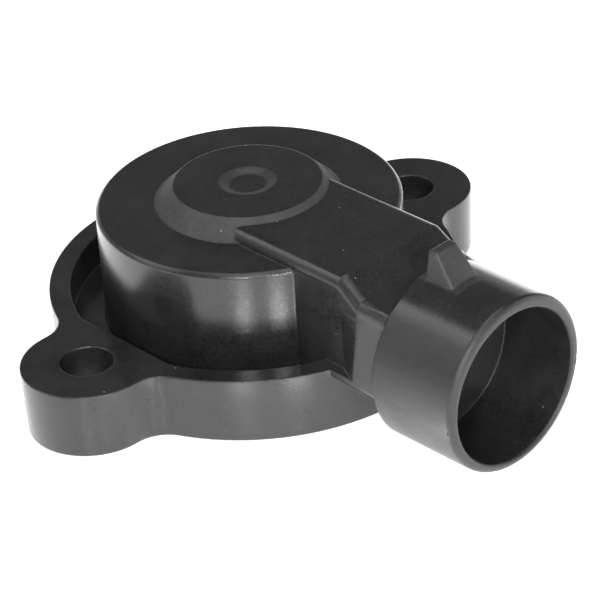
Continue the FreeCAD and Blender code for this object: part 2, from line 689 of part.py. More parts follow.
def make_rotor():
    body = new_body("rotor")
    profile = new_sketch(body, "rotor_profile", "XZ_Plane")
    polygon(profile, [
        ("0", "hub_end"),
        ("hub_r", "hub_end"),
        ("hub_r", "barrel_low"),
        ("barrel_r", "barrel_low"),
        ("barrel_r", "disc_low"),
        ("disc_r", "disc_low"),
        ("disc_r", "disc_top"),
        ("journal_r", "disc_top"),
        ("journal_r", "journal_hole_top - journal_end_gap"),
        ("0", "journal_hole_top - journal_end_gap"),
    ])
    turned(body, "Revolution", "rotor_turning", profile)
    lug = new_sketch(body, "stop_lug_outline", "XY_Plane", lift="disc_low", turn="stop_angle")
    rectangle(lug, "-lug_r", "-barrel_r", "-lug_width / 2", "lug_width / 2")
    pad(body, "stop_lug", lug, "disc_thick")
    drive = new_sketch(body, "drive_circle", "XY_Plane", lift="hub_end")
    circle(drive, "0", "0", "drive_r")
    pocket(body, "drive_socket", drive, "drive_depth", flip=True)
    flats = new_sketch(body, "drive_flats_outline", "XY_Plane", lift="hub_end + drive_depth")
    half = number("flat_half")
    reach = math.sqrt(number("flat_r") ** 2 - half ** 2)
    join_ends(flats, [
        (central_arc(flats, "flat_r", reach, -half, reach, half), 1, 2),
        (level_line(flats, (reach, half), (-reach, half), "flat_half"), 1, 2),
        (central_arc(flats, "flat_r", -reach, half, -reach, -half), 1, 2),
        (level_line(flats, (-reach, -half), (reach, -half), "-flat_half"), 1, 2),
    ])
    pocket(body, "drive_flats", flats, "flat_depth", flip=True)
    leg = new_sketch(body, "leg_hole_circle", "YZ_Plane", lift="barrel_r + overshoot")
    circle(leg, "0", "coil_high", "leg_hole_r")
    pocket(body, "leg_hole", leg, "overshoot + leg_bite + leg_gap")
    dress_edges(body, "Chamfer", "hub_lead", "hub_bevel", [(-number("hub_r"), 0, number("hub_end"))])
    return body


def make_wiper():
    body = new_body("wiper_spring")
    base = new_sketch(body, "wiper_base_outline", "XY_Plane", lift="disc_top")
    across = "wiper_inner_y + (finger_count - 1) * finger_pitch + finger_width"
    rectangle(base, "-wiper_base_half", "wiper_base_half", "wiper_inner_y", across)
    pad(body, "wiper_base", base, "wiper_thick")
    finger = new_sketch(body, "finger_side", "XZ_Plane", lift="-wiper_inner_y")
    tip = "board_low - finger_gap"
    polygon(finger, [
        ("wiper_base_half - wiper_thick", "disc_top"),
        ("wiper_base_half", "disc_top"),
        ("wiper_base_half + finger_reach", f"{tip} - wiper_thick"),
        ("wiper_base_half + finger_reach + fingertip", f"{tip} - wiper_thick"),
        ("wiper_base_half + finger_reach + fingertip", tip),
        ("wiper_base_half + finger_reach", tip),
        ("wiper_base_half - wiper_thick", "disc_top + wiper_thick"),
    ])
    first = pad(body, "finger", finger, "finger_width", flip=True)
    fingers = body.newObject("PartDesign::LinearPattern", "fingers")
    fingers.Originals = [first]
    fingers.Direction = (origin_part(body, "Y_Axis"), [""])
    bind(fingers, Length="(finger_count - 1) * finger_pitch", Occurrences="finger_count")
    body.Tip = fingers
    return body


def make_board():
    body = new_body("track_board")
    outline = new_sketch(body, "board_circles", "XY_Plane", lift="board_low")
    circle(outline, "0", "0", "board_r")
    circle(outline, "0", "0", "board_hole_r")
    pad(body, "board_plate", outline, "board_thick")
    hole = new_sketch(body, "stake_hole_circle", "XY_Plane", lift="board_low - overshoot")
    circle(hole, "-stake_reach * cos(stake_turn)", "stake_reach * sin(stake_turn)", "stake_hole_r")
    first = pocket(body, "stake_hole", hole, "board_thick + 2 * overshoot", flip=True)
    holes = body.newObject("PartDesign::PolarPattern", "stake_holes")
    holes.Originals = [first]
    holes.Axis = (origin_part(body, "Z_Axis"), [""])
    holes.Angle = 360
    bind(holes, Occurrences="stake_count")
    body.Tip = holes
    return body


def make_cover():
    body = new_body("back_cover")
    outline = new_sketch(body, "cover_circles", "XY_Plane", lift="cover_recess")
    circle(outline, "0", "0", "cover_r")
    circle(outline, "0", "0", "hub_r + hub_gap")
    pad(body, "cover_plate", outline, "cover_thick")
    edge = (-number("cover_r"), 0, number("cover_recess"))
    dress_edges(body, "Chamfer", "cover_edge", "cover_chamfer", [edge])
    return body


def make_return_spring():
    body = new_body("return_spring")
    wire = new_sketch(body, "wire_section", "XZ_Plane")
    polygon(wire, [
        (f"coil_r + wire_r * cos({turn})", f"coil_low + wire_r * sin({turn})")
        for turn in range(45, 405, 90)
    ])
    coil = body.newObject("PartDesign::AdditiveHelix", "coil")
    coil.Profile = wire
    coil.ReferenceAxis = (wire, ["V_Axis"])
    coil.Mode = "pitch-turns-angle"
    bind(coil, Pitch="coil_pitch", Turns="coil_turns")
    outer = new_sketch(body, "outer_leg_circle", "YZ_Plane", lift="coil_r")
    circle(outer, "0", "coil_low", "wire_r")
    pad(body, "outer_leg", outer, "notch_r - leg_gap - coil_r")
    inner = new_sketch(body, "inner_leg_circle", "YZ_Plane", lift="barrel_r - leg_bite")
    circle(inner, "0", "coil_high", "wire_r")
    pad(body, "inner_leg", inner, "coil_r - barrel_r + leg_bite")
    return body


def make_washer():
    washer = doc.addObject("Part::Cut", "thrust_washer")
    washer.Label = "thrust_washer"
    washer.Base = doc.addObject("Part::Cylinder", "washer_blank")
    washer.Tool = doc.addObject("Part::Cylinder", "washer_hole")
    bind(washer.Base, Radius="washer_r", Height="washer_thick", Placement__Base__z="disc_top")
    bind(washer.Tool, Radius="journal_r + washer_gap", Height="washer_thick", Placement__Base__z="disc_top")
    return washer


# Square cut ring that stands a little out of its groove until the screws press it flat
def make_seal():
    body = new_body("flange_seal")
    section = new_sketch(body, "seal_section", "XZ_Plane")
    rectangle(section, "seal_inner_r", "seal_outer_r", "-seal_proud", "groove_depth")
    turned(body, "Revolution", "seal_ring", section)
    return body


terminals = [
    make_terminal("terminal_supply", -1),
    make_terminal("terminal_signal", 0),
    make_terminal("terminal_ground", 1),
]
nodes = terminals + [
    make_housing(terminals),
    make_board(),
    make_rotor(),
    make_wiper(),
    make_washer(),
    make_return_spring(),
    make_cover(),
    make_seal(),
]
doc.recompute()

for item in doc.Objects:
    if {"Invalid", "Error"} & set(item.State):
        raise RuntimeError(f"{item.Name} failed: {item.State}")
for node in nodes:
    if node.Shape.isNull() or not node.Shape.isValid():
        raise RuntimeError(f"{node.Label} has no valid shape")

os.makedirs("parts", exist_ok=True)
for node in nodes:
    node.Shape.exportStep(f"parts/{node.Label}.step")
    print(f"{node.Label}: {len(node.Shape.Solids)} solid, {node.Shape.Volume:.1f} mm3")
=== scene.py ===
import json
import math
import bmesh
import bpy
from mathutils import Matrix, Vector
from mathutils.kdtree import KDTree


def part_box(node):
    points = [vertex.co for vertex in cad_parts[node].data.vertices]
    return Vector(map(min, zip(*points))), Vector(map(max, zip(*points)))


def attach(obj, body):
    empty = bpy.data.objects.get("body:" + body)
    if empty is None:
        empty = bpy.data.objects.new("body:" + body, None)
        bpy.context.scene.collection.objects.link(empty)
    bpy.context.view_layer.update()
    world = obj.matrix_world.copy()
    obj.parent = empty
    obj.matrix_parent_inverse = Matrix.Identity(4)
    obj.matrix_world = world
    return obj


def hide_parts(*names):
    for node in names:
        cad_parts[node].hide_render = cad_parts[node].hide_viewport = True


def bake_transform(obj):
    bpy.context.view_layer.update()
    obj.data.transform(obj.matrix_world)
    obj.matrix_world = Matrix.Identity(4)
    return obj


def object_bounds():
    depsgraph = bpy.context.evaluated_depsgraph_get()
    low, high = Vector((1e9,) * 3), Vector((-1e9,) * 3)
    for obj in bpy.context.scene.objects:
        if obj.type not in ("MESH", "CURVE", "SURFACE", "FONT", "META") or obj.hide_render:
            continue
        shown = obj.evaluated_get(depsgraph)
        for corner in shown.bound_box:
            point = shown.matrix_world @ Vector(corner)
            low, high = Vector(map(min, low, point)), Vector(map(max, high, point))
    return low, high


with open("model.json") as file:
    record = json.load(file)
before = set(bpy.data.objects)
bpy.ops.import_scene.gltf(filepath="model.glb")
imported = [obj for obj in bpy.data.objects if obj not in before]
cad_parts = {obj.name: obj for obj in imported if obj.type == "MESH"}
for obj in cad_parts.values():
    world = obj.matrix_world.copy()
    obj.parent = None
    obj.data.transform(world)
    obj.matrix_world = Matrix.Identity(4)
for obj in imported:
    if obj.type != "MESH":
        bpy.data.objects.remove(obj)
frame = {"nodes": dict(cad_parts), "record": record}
nodes = frame["nodes"]
cadBox = [list(corner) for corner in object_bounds()]
print("frame loaded")

bpy.context.scene.view_settings.view_transform = "Standard"


def addObject(name, data):
    added = bpy.data.objects.new(name, data)
    bpy.context.scene.collection.objects.link(added)
    return added


# Unit vector towards an azimuth, counted from +X, and an elevation, both in degrees
def directionAt(azimuth, elevation):
    across, up = math.radians(azimuth), math.radians(elevation)
    return Vector((math.cos(up) * math.cos(across), math.cos(up) * math.sin(across), math.sin(up)))


# Camera: a long lens, a little rolled, looking down on the connector's side
cameraSizes = {
    "lens": 182.34,
    "azimuth": -42.218,
    "elevation": 31.083,
    "roll": 3.905,
    "distance": 0.32175,
    "nearest": 0.01,  # nothing closer than this is drawn
    "aimHeight": 0.007744,  # point on the shaft's axis that the view starts from
    "aimRight": 0.004857,  # then this far to the right and down in the view
    "aimDown": 0.003582,
}


def placeCamera(sizes):
    back = directionAt(sizes["azimuth"], sizes["elevation"])
    roll = math.radians(sizes["roll"])
    level = (-back).cross(Vector((0, 0, 1))).normalized()
    plumb = (-back).cross(level)
    right = level * math.cos(roll) + plumb * math.sin(roll)
    down = plumb * math.cos(roll) - level * math.sin(roll)
    aim = Vector((0, 0, sizes["aimHeight"])) + right * sizes["aimRight"] + down * sizes["aimDown"]
    camera = addObject("camera", bpy.data.cameras.new("camera"))
    camera.data.lens = sizes["lens"]
    camera.data.clip_start = sizes["nearest"]
    turn = Matrix((right, -down, back)).transposed().to_4x4()
    camera.matrix_world = Matrix.Translation(aim + back * sizes["distance"]) @ turn
    bpy.context.scene.camera = camera


placeCamera(cameraSizes)


# Node helpers: a value sets the node's own field of that name or else its input
def addNode(tree, kind, **values):
    node = tree.nodes.new(kind)
    for name, value in values.items():
        if hasattr(node, name):
            setattr(node, name, value)
        else:
            node.inputs[name.replace("_", " ")].default_value = value
    return node


def link(tree, source, target):
    tree.links.new(source, target)


def mathNode(tree, operation, *values, clamp=False):
    node = addNode(tree, "ShaderNodeMath", operation=operation, use_clamp=clamp)
    for socket, value in zip(node.inputs, values):
        if isinstance(value, (int, float)):
            socket.default_value = value
        else:
            link(tree, value, socket)
    return node.outputs[0]


def product(tree, *values):
    whole = values[0]
    for value in values[1:]:
        whole = mathNode(tree, "MULTIPLY", whole, value)
    return whole


def mixShader(tree, factor, first, second):
    node = addNode(tree, "ShaderNodeMixShader")
    for source, target in zip((factor, first, second), node.inputs):
        link(tree, source, target)
    return node.outputs[0]


def splitVector(tree, vector):
    node = addNode(tree, "ShaderNodeSeparateXYZ")
    link(tree, vector, node.inputs[0])
    return node.outputs


def objectPlace(tree):
    return addNode(tree, "ShaderNodeTexCoord").outputs["Object"]


def normalHeight(tree):
    return splitVector(tree, addNode(tree, "ShaderNodeNewGeometry").outputs["Normal"])["Z"]


# 1 between low and high, fading to 0 inside both ends
def plateau(tree, value, low, high, fade):
    overLow = mathNode(tree, "SUBTRACT", value, low)
    underHigh = mathNode(tree, "SUBTRACT", high, value)
    ends = [mathNode(tree, "MULTIPLY", room, 1 / fade, clamp=True) for room in (overLow, underHigh)]
    return product(tree, *ends)


# Distance from the shaft's axis and angle round it
def roundAxis(tree):
    place = splitVector(tree, objectPlace(tree))
    flat = addNode(tree, "ShaderNodeCombineXYZ")
    link(tree, place["X"], flat.inputs["X"])
    link(tree, place["Y"], flat.inputs["Y"])
    length = addNode(tree, "ShaderNodeVectorMath", operation="LENGTH")
    link(tree, flat.outputs[0], length.inputs[0])
    return length.outputs["Value"], mathNode(tree, "ARCTAN2", place["Y"], place["X"])


# Studio: white all round for the eye, a bright horizon and soft lamps for light, on a pale floor
studio = {
    "floorRadius": 1.5,
    "floorSides": 96,
    "floorColour": (0.8, 0.8, 0.8, 1),
    "floorShine": 1.45,  # refraction index of the floor's glaze, which mirrors the lamps
    "floorGloss": 0.14,
    "floorGlow": 0.2,
    "floorMirrored": 1.5,  # what a gloss sees of the floor besides its shading and glow
    "floorWhite": 0.6,  # what the eye sees of it besides those
    "glints": {-49: 6.4, -29: 9.4},  # patches that only a gloss sees: middle azimuth to strength
    "glintHalf": 5.5,  # half a patch's width and its fade, in degrees
    "glintSideFade": 3,
    "glintReach": (0.031, 0.041),  # a patch's distances from the axis and its fade there
    "glintReachFade": 0.003,
    "bands": {  # bright parts of the surroundings by the sine of their height: fade and strength
        (-0.3, 0.38): (0.12, 0.6),
        (0.80, 2.0): (0.20, 2.0),
    },
    "overhead": 0.18,  # what a gloss sees of the darker surroundings
    "lampDistance": 0.45,
    "lampAim": (0.01, 0, 0.008),
    "lamps": {
        # name: azimuth, elevation, width, height, watts
        "spotLeft": (-52, 31, 0.042, 0.032, 0.84),
        "spotRight": (-26, 31, 0.042, 0.032, 0.70),
        "lowRight": (-18, 10, 0.20, 0.20, 0.62),
        "frontTop": (-45, 55, 0.20, 0.20, 0.34),
        "left": (-120, 31, 0.20, 0.20, 0.12),
        "leftTop": (-140, 45, 0.20, 0.20, 0.36),
        "right": (60, 16, 0.20, 0.20, 0.40),
    },
}
white = (1, 1, 1, 1)


# What the eye sees, also through glass, and what a gloss sees
def eyeAndGloss(tree):
    rays = addNode(tree, "ShaderNodeLightPath").outputs
    eye = mathNode(tree, "MAXIMUM", rays["Is Camera Ray"], rays["Is Transmission Ray"])
    return eye, rays["Is Glossy Ray"]


def makeWorld(sizes):
    world = bpy.data.worlds.new("studioLight")
    world.use_nodes = True
    bpy.context.scene.world = world
    tree = world.node_tree
    tree.nodes.clear()
    height = splitVector(tree, addNode(tree, "ShaderNodeTexCoord").outputs["Generated"])["Z"]
    light = 0.0
    for (low, high), (fade, brightness) in sizes["bands"].items():
        band = product(tree, plateau(tree, height, low, high, fade), brightness)
        light = mathNode(tree, "ADD", band, light)
    eye, gloss = eyeAndGloss(tree)
    glare = mathNode(tree, "MAXIMUM", light, product(tree, gloss, sizes["overhead"]))
    plain = product(tree, glare, mathNode(tree, "SUBTRACT", 1.0, eye))
    background = addNode(tree, "ShaderNodeBackground", Color=white)
    link(tree, mathNode(tree, "ADD", plain, eye), background.inputs["Strength"])
    output = addNode(tree, "ShaderNodeOutputWorld")
    link(tree, background.outputs[0], output.inputs["Surface"])


def floorGlints(tree, sizes):
    away, around = roundAxis(tree)
    around = product(tree, around, 180 / math.pi)
    near = plateau(tree, away, *sizes["glintReach"], sizes["glintReachFade"])
    half = sizes["glintHalf"]
    glints = sizes["floorMirrored"]
    for azimuth, brightness in sizes["glints"].items():
        strip = plateau(tree, around, azimuth - half, azimuth + half, sizes["glintSideFade"])
        glints = mathNode(tree, "ADD", product(tree, strip, near, brightness), glints)
    return glints


def floorMaterial(sizes):
    material = bpy.data.materials.new("paleFloor")
    material.use_nodes = True
    tree = material.node_tree
    tree.nodes.clear()
    body = addNode(tree, "ShaderNodeBsdfDiffuse", Color=sizes["floorColour"])
    glaze = addNode(tree, "ShaderNodeBsdfGlossy", Roughness=sizes["floorGloss"])
    mirroring = addNode(tree, "ShaderNodeFresnel", IOR=sizes["floorShine"])
    glazed = mixShader(tree, mirroring.outputs[0], body.outputs[0], glaze.outputs[0])
    eye, gloss = eyeAndGloss(tree)
    eye = product(tree, eye, sizes["floorWhite"])
    extra = mathNode(tree, "ADD", eye, product(tree, gloss, floorGlints(tree, sizes)))
    glow = addNode(tree, "ShaderNodeEmission", Color=white)
    link(tree, mathNode(tree, "ADD", extra, sizes["floorGlow"]), glow.inputs["Strength"])
    lit = addNode(tree, "ShaderNodeAddShader")
    link(tree, glazed, lit.inputs[0])
    link(tree, glow.outputs[0], lit.inputs[1])
    # clear from below, so that the part's underside can be seen
    below = addNode(tree, "ShaderNodeNewGeometry").outputs["Backfacing"]
    clear = addNode(tree, "ShaderNodeBsdfTransparent")
    output = addNode(tree, "ShaderNodeOutputMaterial")
    link(tree, mixShader(tree, below, lit.outputs[0], clear.outputs[0]), output.inputs["Surface"])
    return material


def makeFloor(sizes):
    outline = bmesh.new()
    sides, radius = sizes["floorSides"], sizes["floorRadius"]
    bmesh.ops.create_circle(outline, cap_ends=True, segments=sides, radius=radius)
    floorMesh = bpy.data.meshes.new("floor")
    outline.to_mesh(floorMesh)
    outline.free()
    floorMesh.transform(Matrix.Translation((0, 0, cadBox[0][2])))
    floorMesh.materials.append(floorMaterial(sizes))
    addObject("floor", floorMesh)


def placeLamps(sizes):
    for name, (azimuth, elevation, width, height, power) in sizes["lamps"].items():
        lamp = bpy.data.lights.new(name, "AREA")
        lamp.shape = "RECTANGLE"
        lamp.size = width
        lamp.size_y = height
        lamp.energy = power
        holder = addObject(name, lamp)
        away = directionAt(azimuth, elevation)
        holder.location = Vector(sizes["lampAim"]) + away * sizes["lampDistance"]
        holder.rotation_euler = away.to_track_quat("Z", "Y").to_euler()
        holder.visible_camera = False


makeWorld(studio)
makeFloor(studio)
placeLamps(studio)
print("camera, floor and lamps placed")


# Shared effects, each a group that puts out masks, heights or normals
def startGroup(name, inputs, outputs):
    tree = bpy.data.node_groups.new(name, "ShaderNodeTree")
    for label, value in inputs.items():
        socket = tree.interface.new_socket(label, in_out="INPUT", socket_type="NodeSocketFloat")
        socket.default_value = value
    for label, kind in outputs.items():
        tree.interface.new_socket(label, in_out="OUTPUT", socket_type="NodeSocket" + kind)
    return tree, tree.nodes.new("NodeGroupInput").outputs, tree.nodes.new("NodeGroupOutput").inputs


def noise(tree, scale, **values):
    node = addNode(tree, "ShaderNodeTexNoise", **values)
    link(tree, objectPlace(tree), node.inputs["Vector"])
    link(tree, scale, node.inputs["Scale"])
    return node.outputs["Fac"]


def spread(tree, value, **ends):
    node = addNode(tree, "ShaderNodeMapRange", **ends)
    link(tree, value, node.inputs["Value"])
    return node.outputs[0]


# Fine grain of the mould and broad flow marks in it
mouldGrain = {
    "inputs": {"Scale": 2500.0, "Flow": 220.0},
    "fine": {"Detail": 3.0, "Roughness": 0.6},
    "broad": {"Detail": 4.0, "Roughness": 0.62, "Distortion": 0.4},
    "broadHeight": 0.35,  # of the fine grain's height
    "tone": {"From_Min": 0.34, "From_Max": 0.66},
}


def mouldGrainGroup(sizes):
    outputs = {"Height": "Float", "Tone": "Float"}
    tree, given, result = startGroup("mouldGrain", sizes["inputs"], outputs)
    fine = noise(tree, given["Scale"], **sizes["fine"])
    broad = noise(tree, given["Flow"], **sizes["broad"])
    height = mathNode(tree, "ADD", fine, product(tree, broad, sizes["broadHeight"]))
    middle = product(tree, mathNode(tree, "ADD", fine, broad), 0.5)
    link(tree, height, result["Height"])
    link(tree, spread(tree, middle, **sizes["tone"]), result["Tone"])
    return tree


# Wear along edges, broken into patches, and the normal that rounds them
edgeWear = {
    "inputs": {"Reach": 0.00025, "Patch": 900.0},
    "samples": 6,
    "gain": 6.0,  # how soon a turned normal counts as an edge
    "patchDetail": 4.0,
    "patches": {"From_Min": 0.35, "From_Max": 0.65},
}


def edgeWearGroup(sizes):
    outputs = {"Mask": "Float", "Rounded": "Vector"}
    tree, given, result = startGroup("edgeWear", sizes["inputs"], outputs)
    rounded = addNode(tree, "ShaderNodeBevel", samples=sizes["samples"])
    link(tree, given["Reach"], rounded.inputs["Radius"])
    turned = addNode(tree, "ShaderNodeVectorMath", operation="DOT_PRODUCT")
    link(tree, addNode(tree, "ShaderNodeNewGeometry").outputs["Normal"], turned.inputs[0])
    link(tree, rounded.outputs["Normal"], turned.inputs[1])
    bend = mathNode(tree, "SUBTRACT", 1.0, turned.outputs["Value"])
    edge = mathNode(tree, "MULTIPLY", bend, sizes["gain"], clamp=True)
    patches = noise(tree, given["Patch"], Detail=sizes["patchDetail"])
    link(tree, product(tree, edge, spread(tree, patches, **sizes["patches"])), result["Mask"])
    link(tree, rounded.outputs["Normal"], result["Rounded"])
    return tree


# Specks in a few of many small cells
dustSpecks = {
    "inputs": {"Scale": 1400.0, "Amount": 0.04},
    "speckRadius": 0.13,  # of a cell
}


def dustGroup(sizes):
    tree, given, result = startGroup("dustSpecks", sizes["inputs"], {"Mask": "Float"})
    cells = addNode(tree, "ShaderNodeTexVoronoi", Randomness=1.0)
    link(tree, objectPlace(tree), cells.inputs["Vector"])
    link(tree, given["Scale"], cells.inputs["Scale"])
    speck = mathNode(tree, "LESS_THAN", cells.outputs["Distance"], sizes["speckRadius"])
    chance = addNode(tree, "ShaderNodeSeparateColor")
    link(tree, cells.outputs["Color"], chance.inputs[0])
    chosen = mathNode(tree, "LESS_THAN", chance.outputs[0], given["Amount"])
    link(tree, product(tree, speck, chosen), result["Mask"])
    return tree


effects = {
    "grain": mouldGrainGroup(mouldGrain),
    "wear": edgeWearGroup(edgeWear),
    "dust": dustGroup(dustSpecks),
}
print("effects made:", len(effects))

# Finishes, by the record's slots: colour, its paler patches and worn edges, roughness from the
# darkest to the palest patch, share of wear and of dusty cells, grain, flow marks and their depth
finishes = {
    "housing_plastic": {
        "colour": (0.009, 0.009, 0.010), "paler": (0.021, 0.021, 0.022), "worn": (0.08, 0.08, 0.08),
        "roughness": (0.40, 0.56), "metallic": 0.0, "wear": 0.35, "dust": 0.02,
        "grainScale": 2600.0, "flowScale": 220.0, "bump": 0.000006,
        # glossier from the mould: level faces, the round body's side in a ring, and all else up to
        # the shroud in a box; the shares are what is left of the roughness
        "polished": {
            "level": 0.40, "levelFacing": (0.72, 2.0),  # the height of their normals
            "side": 0.46, "ring": (0.0157, 0.0165, 0.0026, 0.0161),
            "walls": 0.64, "low": (-0.04, -0.04, -0.001), "high": (0.0267, 0.04, 0.0200),
        },
        # matt: the lock wedge, in a box, and the slopes of the raised disc and of its dimple
        "matt": {
            "colour": (0.042, 0.042, 0.042), "roughness": 0.56, "mottled": 0.7,
            "low": (0.0266, -0.0024, 0.0172), "high": (0.0322, 0.0024, 0.0215), "wedgeShare": 0.6,
            "slopes": [
                # within a ring's distances and heights, the height falls this much with the
                # distance from the axis, where it starts at the apex
                {
                    "ring": (0.0076, 0.0100, 0.0161, 0.0184),
                    "fall": 0.9606, "apex": 0.02567, "share": 1.0,
                },
                {
                    "ring": (0.0019, 0.0031, 0.0170, 0.0190),
                    "fall": -0.4082, "apex": 0.016934, "share": 0.65,
                },
            ],
        },
    },
    "cover_plastic": {
        "colour": (0.024, 0.024, 0.025), "paler": (0.036, 0.036, 0.037), "worn": (0.10, 0.10, 0.10),
        "roughness": (0.38, 0.5), "metallic": 0.0, "wear": 0.3, "dust": 0.02,
        "grainScale": 2200.0, "flowScale": 200.0, "bump": 0.000004,
    },
    "rotor_plastic": {
        "colour": (0.66, 0.64, 0.57), "paler": (0.76, 0.74, 0.67), "worn": (0.55, 0.52, 0.45),
        "roughness": (0.35, 0.5), "metallic": 0.0, "wear": 0.4, "dust": 0.0,
        "grainScale": 2200.0, "flowScale": 240.0, "bump": 0.000003,
    },
    "board_laminate": {
        "colour": (0.09, 0.14, 0.09), "paler": (0.13, 0.18, 0.13), "worn": (0.25, 0.28, 0.2),
        "roughness": (0.45, 0.6), "metallic": 0.0, "wear": 0.3, "dust": 0.0,
        "grainScale": 1800.0, "flowScale": 500.0, "bump": 0.000003,
        "tracks": {
            "facing": (-2.0, -0.5),  # the underside's normals, by their height
            "arcs": [
                # nearest and farthest from the axis, first and last angle, ink
                (0.0089, 0.0102, 38, 172, (0.016, 0.016, 0.017)),
                (0.0089, 0.0102, -14, 38, (0.42, 0.41, 0.38)),
                (0.0104, 0.0117, -6, 172, (0.42, 0.41, 0.38)),
            ],
        },
    },
    "seal_rubber": {
        "colour": (0.018, 0.018, 0.018), "paler": (0.028, 0.028, 0.028), "worn": (0.06, 0.06, 0.06),
        "roughness": (0.55, 0.7), "metallic": 0.0, "wear": 0.2, "dust": 0.02,
        "grainScale": 3200.0, "flowScale": 300.0, "bump": 0.000005,
    },
    "terminal_brass": {
        "colour": (0.68, 0.64, 0.54), "paler": (0.76, 0.73, 0.64), "worn": (0.70, 0.55, 0.28),
        "roughness": (0.22, 0.36), "metallic": 1.0, "wear": 0.5, "dust": 0.0,
        "grainScale": 3000.0, "flowScale": 600.0, "bump": 0.000002,
    },
    "contact_bronze": {
        "colour": (0.70, 0.50, 0.29), "paler": (0.78, 0.60, 0.38), "worn": (0.80, 0.66, 0.46),
        "roughness": (0.2, 0.32), "metallic": 1.0, "wear": 0.5, "dust": 0.0,
        "grainScale": 3000.0, "flowScale": 600.0, "bump": 0.000002,
    },
    "washer_steel": {
        "colour": (0.58, 0.58, 0.57), "paler": (0.66, 0.66, 0.65), "worn": (0.72, 0.72, 0.72),
        "roughness": (0.28, 0.4), "metallic": 1.0, "wear": 0.4, "dust": 0.0,
        "grainScale": 2600.0, "flowScale": 500.0, "bump": 0.000002,
    },
    "spring_steel": {
        "colour": (0.45, 0.45, 0.46), "paler": (0.56, 0.56, 0.56), "worn": (0.62, 0.62, 0.62),
        "roughness": (0.25, 0.38), "metallic": 1.0, "wear": 0.3, "dust": 0.0,
        "grainScale": 2600.0, "flowScale": 500.0, "bump": 0.000002,
    },
}
dustLook = {"share": 0.6, "colour": (0.3, 0.3, 0.29)}


def mixColour(tree, factor, first, second):
    node = addNode(tree, "ShaderNodeMix", data_type="RGBA")
    link(tree, factor, node.inputs["Factor"])
    for socket, value in ((node.inputs["A"], first), (node.inputs["B"], second)):
        if isinstance(value, tuple):
            socket.default_value = (*value, 1)
        else:
            link(tree, value, socket)
    return node.outputs["Result"]


def groupNode(tree, effect, **values):
    node = addNode(tree, "ShaderNodeGroup", node_tree=effects[effect])
    for name, value in values.items():
        node.inputs[name].default_value = value
    return node.outputs


# How softly each mask ends, in metres where nothing else is said
fades = {
    "ringAcross": 0.0001,
    "ringUp": 0.0003,
    "slope": 0.00003,
    "wedge": 0.0004,
    "walls": 0.0006,
    "facing": 0.10,  # of the normal's height
    "trackAcross": 0.00005,
    "trackAlong": 0.01,  # radians
}
slopeDepth = 0.00008  # how far over or under a slope its face may lie


def boxMask(tree, low, high, fade):
    place = splitVector(tree, objectPlace(tree))
    sides = [plateau(tree, value, *ends, fade) for value, *ends in zip(place, low, high)]
    return product(tree, *sides)


# A ring round the shaft's axis, by its distances and its heights
def ringMask(tree, ring):
    nearest, farthest, lowest, highest = ring
    across = plateau(tree, roundAxis(tree)[0], nearest, farthest, fades["ringAcross"])
    height = splitVector(tree, objectPlace(tree))["Z"]
    return product(tree, across, plateau(tree, height, lowest, highest, fades["ringUp"]))


# The part of a ring on one cone, whose height falls evenly with the distance from the axis
def slopeMask(tree, slope):
    fallen = product(tree, roundAxis(tree)[0], slope["fall"])
    apex = mathNode(tree, "ADD", splitVector(tree, objectPlace(tree))["Z"], fallen)
    low, high = slope["apex"] - slopeDepth, slope["apex"] + slopeDepth
    face = plateau(tree, apex, low, high, fades["slope"])
    return product(tree, face, ringMask(tree, slope["ring"]), slope["share"])


# How far the glossier faces are smoothed
def polishedMask(tree, zone):
    side = product(tree, ringMask(tree, zone["ring"]), 1 - zone["side"])
    walls = boxMask(tree, zone["low"], zone["high"], fades["walls"])
    walls = product(tree, walls, 1 - zone["walls"])
    level = plateau(tree, normalHeight(tree), *zone["levelFacing"], fades["facing"])
    level = product(tree, level, 1 - zone["level"])
    return mathNode(tree, "MAXIMUM", mathNode(tree, "MAXIMUM", side, walls), level)


def printTracks(tree, printed, colour):
    under = plateau(tree, normalHeight(tree), *printed["facing"], fades["facing"])
    away, around = roundAxis(tree)
    for nearest, farthest, first, last, ink in printed["arcs"]:
        arc = plateau(tree, around, math.radians(first), math.radians(last), fades["trackAlong"])
        across = plateau(tree, away, nearest, farthest, fades["trackAcross"])
        colour = mixColour(tree, product(tree, arc, across, under), colour, ink)
    return colour


